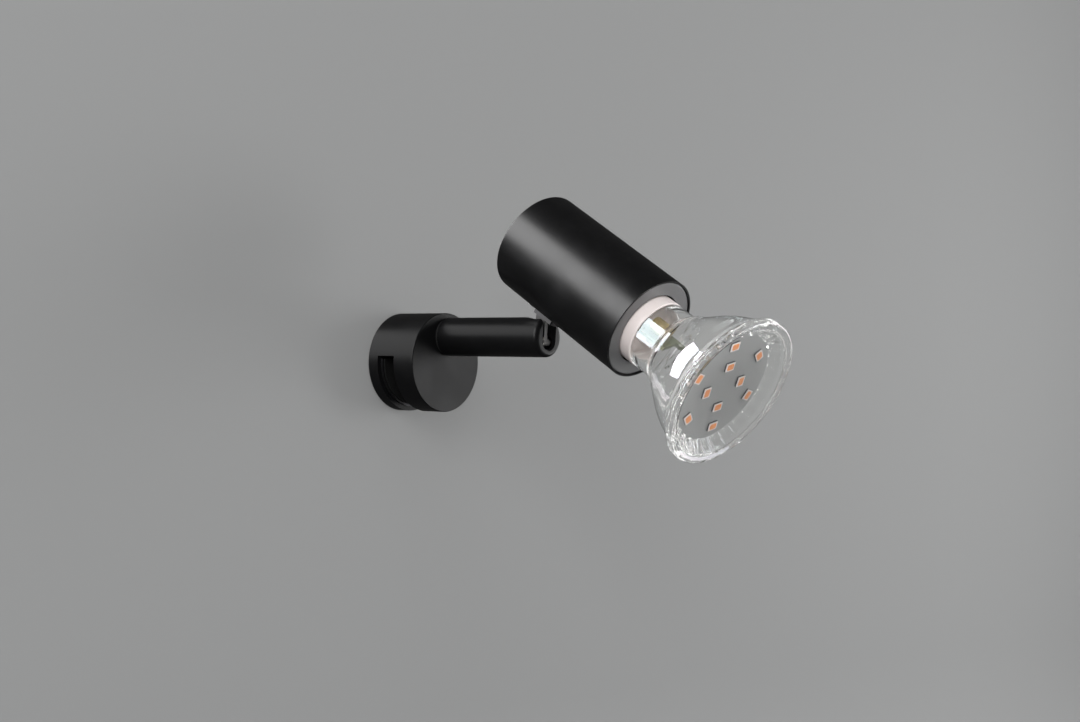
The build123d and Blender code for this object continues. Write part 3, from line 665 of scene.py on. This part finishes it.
class SPOTLIGHT_OT_lamp_lights(bpy.types.Operator):
    """Makes the ten light-emitting packages on the lamp's board"""

    bl_idname = "spotlight.lamp_lights"
    bl_label = "Lamp Lights"

    def execute(self, context):
        shaded_feet, frames, faces = [], [], []
        for radius, count, start in LED_RINGS:
            for index in range(count):
                angle = math.radians(start + 360 * index / count)
                place = (LAMP_PLACE @ Matrix.Rotation(angle, 4, "Z")
                         @ Matrix.Translation((radius * MM, 0, BOARD_FACE * MM)))
                shaded_feet.append(self.stacked(place, LED_SHADED_FOOT))
                frames.append(self.stacked(place, LED_FRAME))
                faces.append(self.phosphor(place))
        # The near-black feet are painted shade round the base of each package.
        dress(joined("led_feet_painted_shade", shaded_feet), "lamp", "board_white", finish("package_foot_shade"),
              "led_chips")
        dress(joined("led_frames", frames), "lamp", "board_white", finish("package_white"),
              "led_chips")
        dress(joined("led_phosphor", faces), "lamp", "phosphor", finish("phosphor"),
              "led_chips")
        return {"FINISHED"}

    def stacked(self, place, levels):
        """The mesh of a closed block through rectangles of (half width, half length, height)."""
        shape = bmesh.new()
        rows = []
        for x, y, z in levels:
            rows.append([shape.verts.new(place @ (Vector(point) * MM)) for point in
                         ((-x, -y, z), (x, -y, z), (x, y, z), (-x, y, z))])
        for below, above in zip(rows, rows[1:]):
            for i in range(4):
                j = (i + 1) % 4
                shape.faces.new((below[i], below[j], above[j], above[i]))
        shape.faces.new(rows[-1])
        shape.faces.new(reversed(rows[0]))
        bmesh.ops.recalc_face_normals(shape, faces=shape.faces)
        mesh = bpy.data.meshes.new("led_package")
        shape.to_mesh(mesh)
        shape.free()
        return mesh

    def phosphor(self, place):
        """The mesh of the slightly domed filling of a package's well."""
        row_length = WELL_STEPS + 1
        verts, faces = [], []
        for row in range(row_length):
            for column in range(row_length):
                u, v = 2 * column / WELL_STEPS - 1, 2 * row / WELL_STEPS - 1
                rise = WELL_FILL + WELL_DOME * (1 - u * u) * (1 - v * v)
                point = Vector((WELL_HALF_WIDTH * u, WELL_HALF_LENGTH * v, rise))
                verts.append(place @ (point * MM))
        for row in range(WELL_STEPS):
            for column in range(WELL_STEPS):
                first = row * row_length + column
                above = first + row_length
                faces.append((first, first + 1, above + 1, above))
        mesh = bpy.data.meshes.new("led_filling")
        mesh.from_pydata(verts, [], faces)
        return mesh


class SPOTLIGHT_OT_finishes(bpy.types.Operator):
    """Gives every node of the frame its finish"""

    bl_idname = "spotlight.finishes"
    bl_label = "Finishes"

    def execute(self, context):
        slots = {part["node"]: part["material_slot"] for part in frame["record"]["subparts"]}
        for node, slot in slots.items():
            finish_node(node, finish(slot))
        return {"FINISHED"}


class SPOTLIGHT_OT_stage(bpy.types.Operator):
    """Makes the wall, the floor, the lights and the camera"""

    bl_idname = "spotlight.stage"
    bl_label = "Studio"

    def execute(self, context):
        studio = context.scene.spotlight_studio
        self.backdrop(studio)
        self.lights(studio)
        self.sky(context.scene)
        self.camera(context.scene, studio)
        return {"FINISHED"}

    def backdrop(self, studio):
        """A wall that runs down into the floor in one sweep, and can't be seen from behind."""
        low = studio.floor_height
        profile = [(WALL_GAP, WALL_TOP), (WALL_GAP, low + SWEEP_RADIUS)]
        for step in range(1, SWEEP_STEPS + 1):
            angle = math.pi / 2 * step / SWEEP_STEPS
            profile.append((WALL_GAP - SWEEP_RADIUS + SWEEP_RADIUS * math.cos(angle),
                            low + SWEEP_RADIUS - SWEEP_RADIUS * math.sin(angle)))
        profile.append((FLOOR_FRONT, low))
        verts = [(x, y, z) for x in (WALL_LEFT, WALL_RIGHT) for y, z in profile]
        count = len(profile)
        faces = [(i, i + 1, count + i + 1, count + i) for i in range(count - 1)]
        mesh = bpy.data.meshes.new("studio_backdrop")
        mesh.from_pydata(verts, [], faces)
        wall = linked("studio_backdrop", mesh)
        smooth(wall)
        wall.data.materials.append(self.paint(studio))
        wall.visible_glossy = False
        wall.visible_shadow = False

    def paint(self, studio):
        """Dull wall paint with a little glow of its own, on the side towards the object only."""
        material, tree, shader = principled("Studio Paint")
        shader.inputs["Roughness"].default_value = 0.9
        shader.inputs["Base Color"].default_value = (*studio.wall, 1.0)
        shader.inputs["Emission Color"].default_value = (1, 1, 1, 1)
        path = tree.nodes.new("ShaderNodeLightPath")
        seen = maths(tree, "MULTIPLY", path.outputs["Is Camera Ray"], WALL_GLOW)
        through = maths(tree, "MULTIPLY", path.outputs["Is Transmission Ray"],
                        WALL_GLOW_THROUGH_GLASS)
        tree.links.new(maths(tree, "ADD", seen, through), shader.inputs["Emission Strength"])
        clear = tree.nodes.new("ShaderNodeBsdfTransparent")
        side = tree.nodes.new("ShaderNodeNewGeometry")
        mix_shaders(tree, side.outputs["Backfacing"], shader, clear)
        return material

    def softbox(self, name, direction, distance, size, brightness, seen_by,
                only=(), all_but=()):
        """A light in the form of a rectangle that looks at the object from a direction.

        brightness is how bright its face is, where 1 is white. seen_by is "surfaces" for
        one that lights them without showing in gloss or glass, and "gloss" for one that
        only shows there. only and all_but name the pieces that it is for, or not for.
        """
        light = bpy.data.lights.new(name, "AREA")
        light.shape = "RECTANGLE"
        light.size, light.size_y = size
        light.energy = brightness * math.pi * size[0] * size[1]
        obj = bpy.data.objects.new(name, light)
        obj.location = LIGHT_AIM + Vector(direction).normalized() * distance
        obj.rotation_euler = (LIGHT_AIM - obj.location).to_track_quat("-Z", "Y").to_euler()
        if seen_by == "gloss":
            obj.visible_diffuse = False
        if seen_by == "surfaces":
            obj.visible_glossy = False
            obj.visible_transmission = False
        bpy.context.scene.collection.objects.link(obj)
        if only or all_but:
            group = bpy.data.collections.new(name + "_pieces")
            for piece in only or all_but:
                group.objects.link(frame["nodes"].get(piece) or bpy.data.objects[piece])
            for member in group.collection_objects:
                member.light_linking.link_state = "INCLUDE" if only else "EXCLUDE"
            obj.light_linking.receiver_collection = group

    def lights(self, studio):
        """The lights, and the cards that gloss and glass show."""
        self.softbox("key_light", KEY_SIDE, SIDE_DISTANCE, (0.5, 0.5), studio.key, "surfaces")
        self.softbox("key_card", KEY_SIDE, CARD_DISTANCE, (1.0, 0.52), studio.key_card,
                     "gloss", all_but=NEAR_WALL + CLEAR_PIECES)
        self.softbox("neck_card", NECK_SIDE, CARD_DISTANCE, (0.38, 0.8), studio.glass_card,
                     "gloss", only=CLEAR_PIECES)
        self.softbox("bowl_card", BOWL_SIDE, CARD_DISTANCE, (0.27, 0.5), studio.glass_card,
                     "gloss", only=CLEAR_PIECES)
        self.softbox("near_card", NEAR_SIDE, CARD_DISTANCE, (1.0, 0.56), studio.near_card,
                     "gloss", only=NEAR_WALL)
        self.softbox("edge_card", EDGE_SIDE, CARD_DISTANCE, (0.2, 0.6), studio.edge_card,
                     "gloss", only=NEAR_WALL)
        self.softbox("fill_light", FILL_SIDE, SIDE_DISTANCE, (0.3, 0.3), studio.fill,
                     "surfaces")
        self.softbox("fill_card", FILL_SIDE, SIDE_DISTANCE, (0.7, 0.7), studio.fill_card,
                     "gloss")
        self.softbox("front_light", FRONT_SIDE, FAR_DISTANCE, (0.5, 0.5), studio.front,
                     "surfaces")
        self.softbox("top_light", TOP_SIDE, FAR_DISTANCE, (0.5, 0.5), TOP_BRIGHTNESS,
                     "surfaces")

    def sky(self, scene):
        """Plain grey surroundings, dark in gloss and brighter through glass."""
        world = bpy.data.worlds.new("Studio")
        world.use_nodes = True
        tree = world.node_tree
        path = tree.nodes.new("ShaderNodeLightPath")
        where = tree.nodes.new("ShaderNodeTexCoord")
        direction = tree.nodes.new("ShaderNodeSeparateXYZ")
        tree.links.new(where.outputs["Generated"], direction.inputs[0])
        more = ramp(tree, direction.outputs["Y"], SKY_ROOM, SKY_SIDES, SKY_MORE_IN_ROOM,
                    SKY_MORE_AT_SIDES)
        through = maths(tree, "MULTIPLY", path.outputs["Is Transmission Ray"], more)
        gloss = maths(tree, "MULTIPLY", path.outputs["Is Glossy Ray"], SKY_LESS_IN_GLOSS)
        level = maths(tree, "ADD", maths(tree, "ADD", through, gloss), SKY_LEVEL)
        tree.links.new(level, tree.nodes["Background"].inputs["Strength"])
        tree.nodes["Background"].inputs["Color"].default_value = (1, 1, 1, 1)
        scene.world = world
        scene.cycles.max_bounces = 24
        scene.cycles.glossy_bounces = 20
        scene.cycles.transmission_bounces = 24

    def camera(self, scene, studio):
        """A camera that stands where the photograph was taken from."""
        data = bpy.data.cameras.new("photo_camera")
        data.lens = studio.lens
        data.sensor_width = CAMERA_SENSOR
        data.clip_start, data.clip_end = 0.01, 20
        camera = bpy.data.objects.new("photo_camera", data)
        turn = Euler([math.radians(angle) for angle in CAMERA_TURN])
        camera.matrix_world = Matrix.LocRotScale(Vector(CAMERA_POINT), turn, None)
        scene.collection.objects.link(camera)
        scene.camera = camera
        scene.view_settings.view_transform = "Standard"


# ---- panel and registration ----------------------------------------------------

OPERATORS = (SPOTLIGHT_OT_finishes, SPOTLIGHT_OT_lamp_glass, SPOTLIGHT_OT_lamp_lights,
             SPOTLIGHT_OT_stage)


class SPOTLIGHT_PT_sidebar(bpy.types.Panel):
    """Shows the colours and the studio settings, with a button for each operator"""

    bl_label = "Spotlight"
    bl_idname = "SPOTLIGHT_PT_sidebar"
    bl_space_type = "VIEW_3D"
    bl_region_type = "UI"
    bl_category = "Spotlight"

    def draw(self, context):
        layout = self.layout
        for settings in (context.scene.spotlight_colours, context.scene.spotlight_studio):
            for name in settings.__annotations__:
                layout.prop(settings, name)
        for operator in OPERATORS:
            layout.operator(operator.bl_idname)


CLASSES = (SpotlightColours, SpotlightStudio, *OPERATORS, SPOTLIGHT_PT_sidebar)


def register():
    """Makes the classes and settings known to Blender."""
    for cls in CLASSES:
        bpy.utils.register_class(cls)
    bpy.types.Scene.spotlight_colours = bpy.props.PointerProperty(type=SpotlightColours)
    bpy.types.Scene.spotlight_studio = bpy.props.PointerProperty(type=SpotlightStudio)


def unregister():
    """Takes the settings and classes away again."""
    del bpy.types.Scene.spotlight_studio
    del bpy.types.Scene.spotlight_colours
    for cls in reversed(CLASSES):
        bpy.utils.unregister_class(cls)


def main():
    """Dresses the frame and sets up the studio."""
    register()
    bpy.ops.spotlight.finishes()
    bpy.ops.spotlight.lamp_glass()
    bpy.ops.spotlight.lamp_lights()
    bpy.ops.spotlight.stage()


if __name__ == "__main__":
    main()
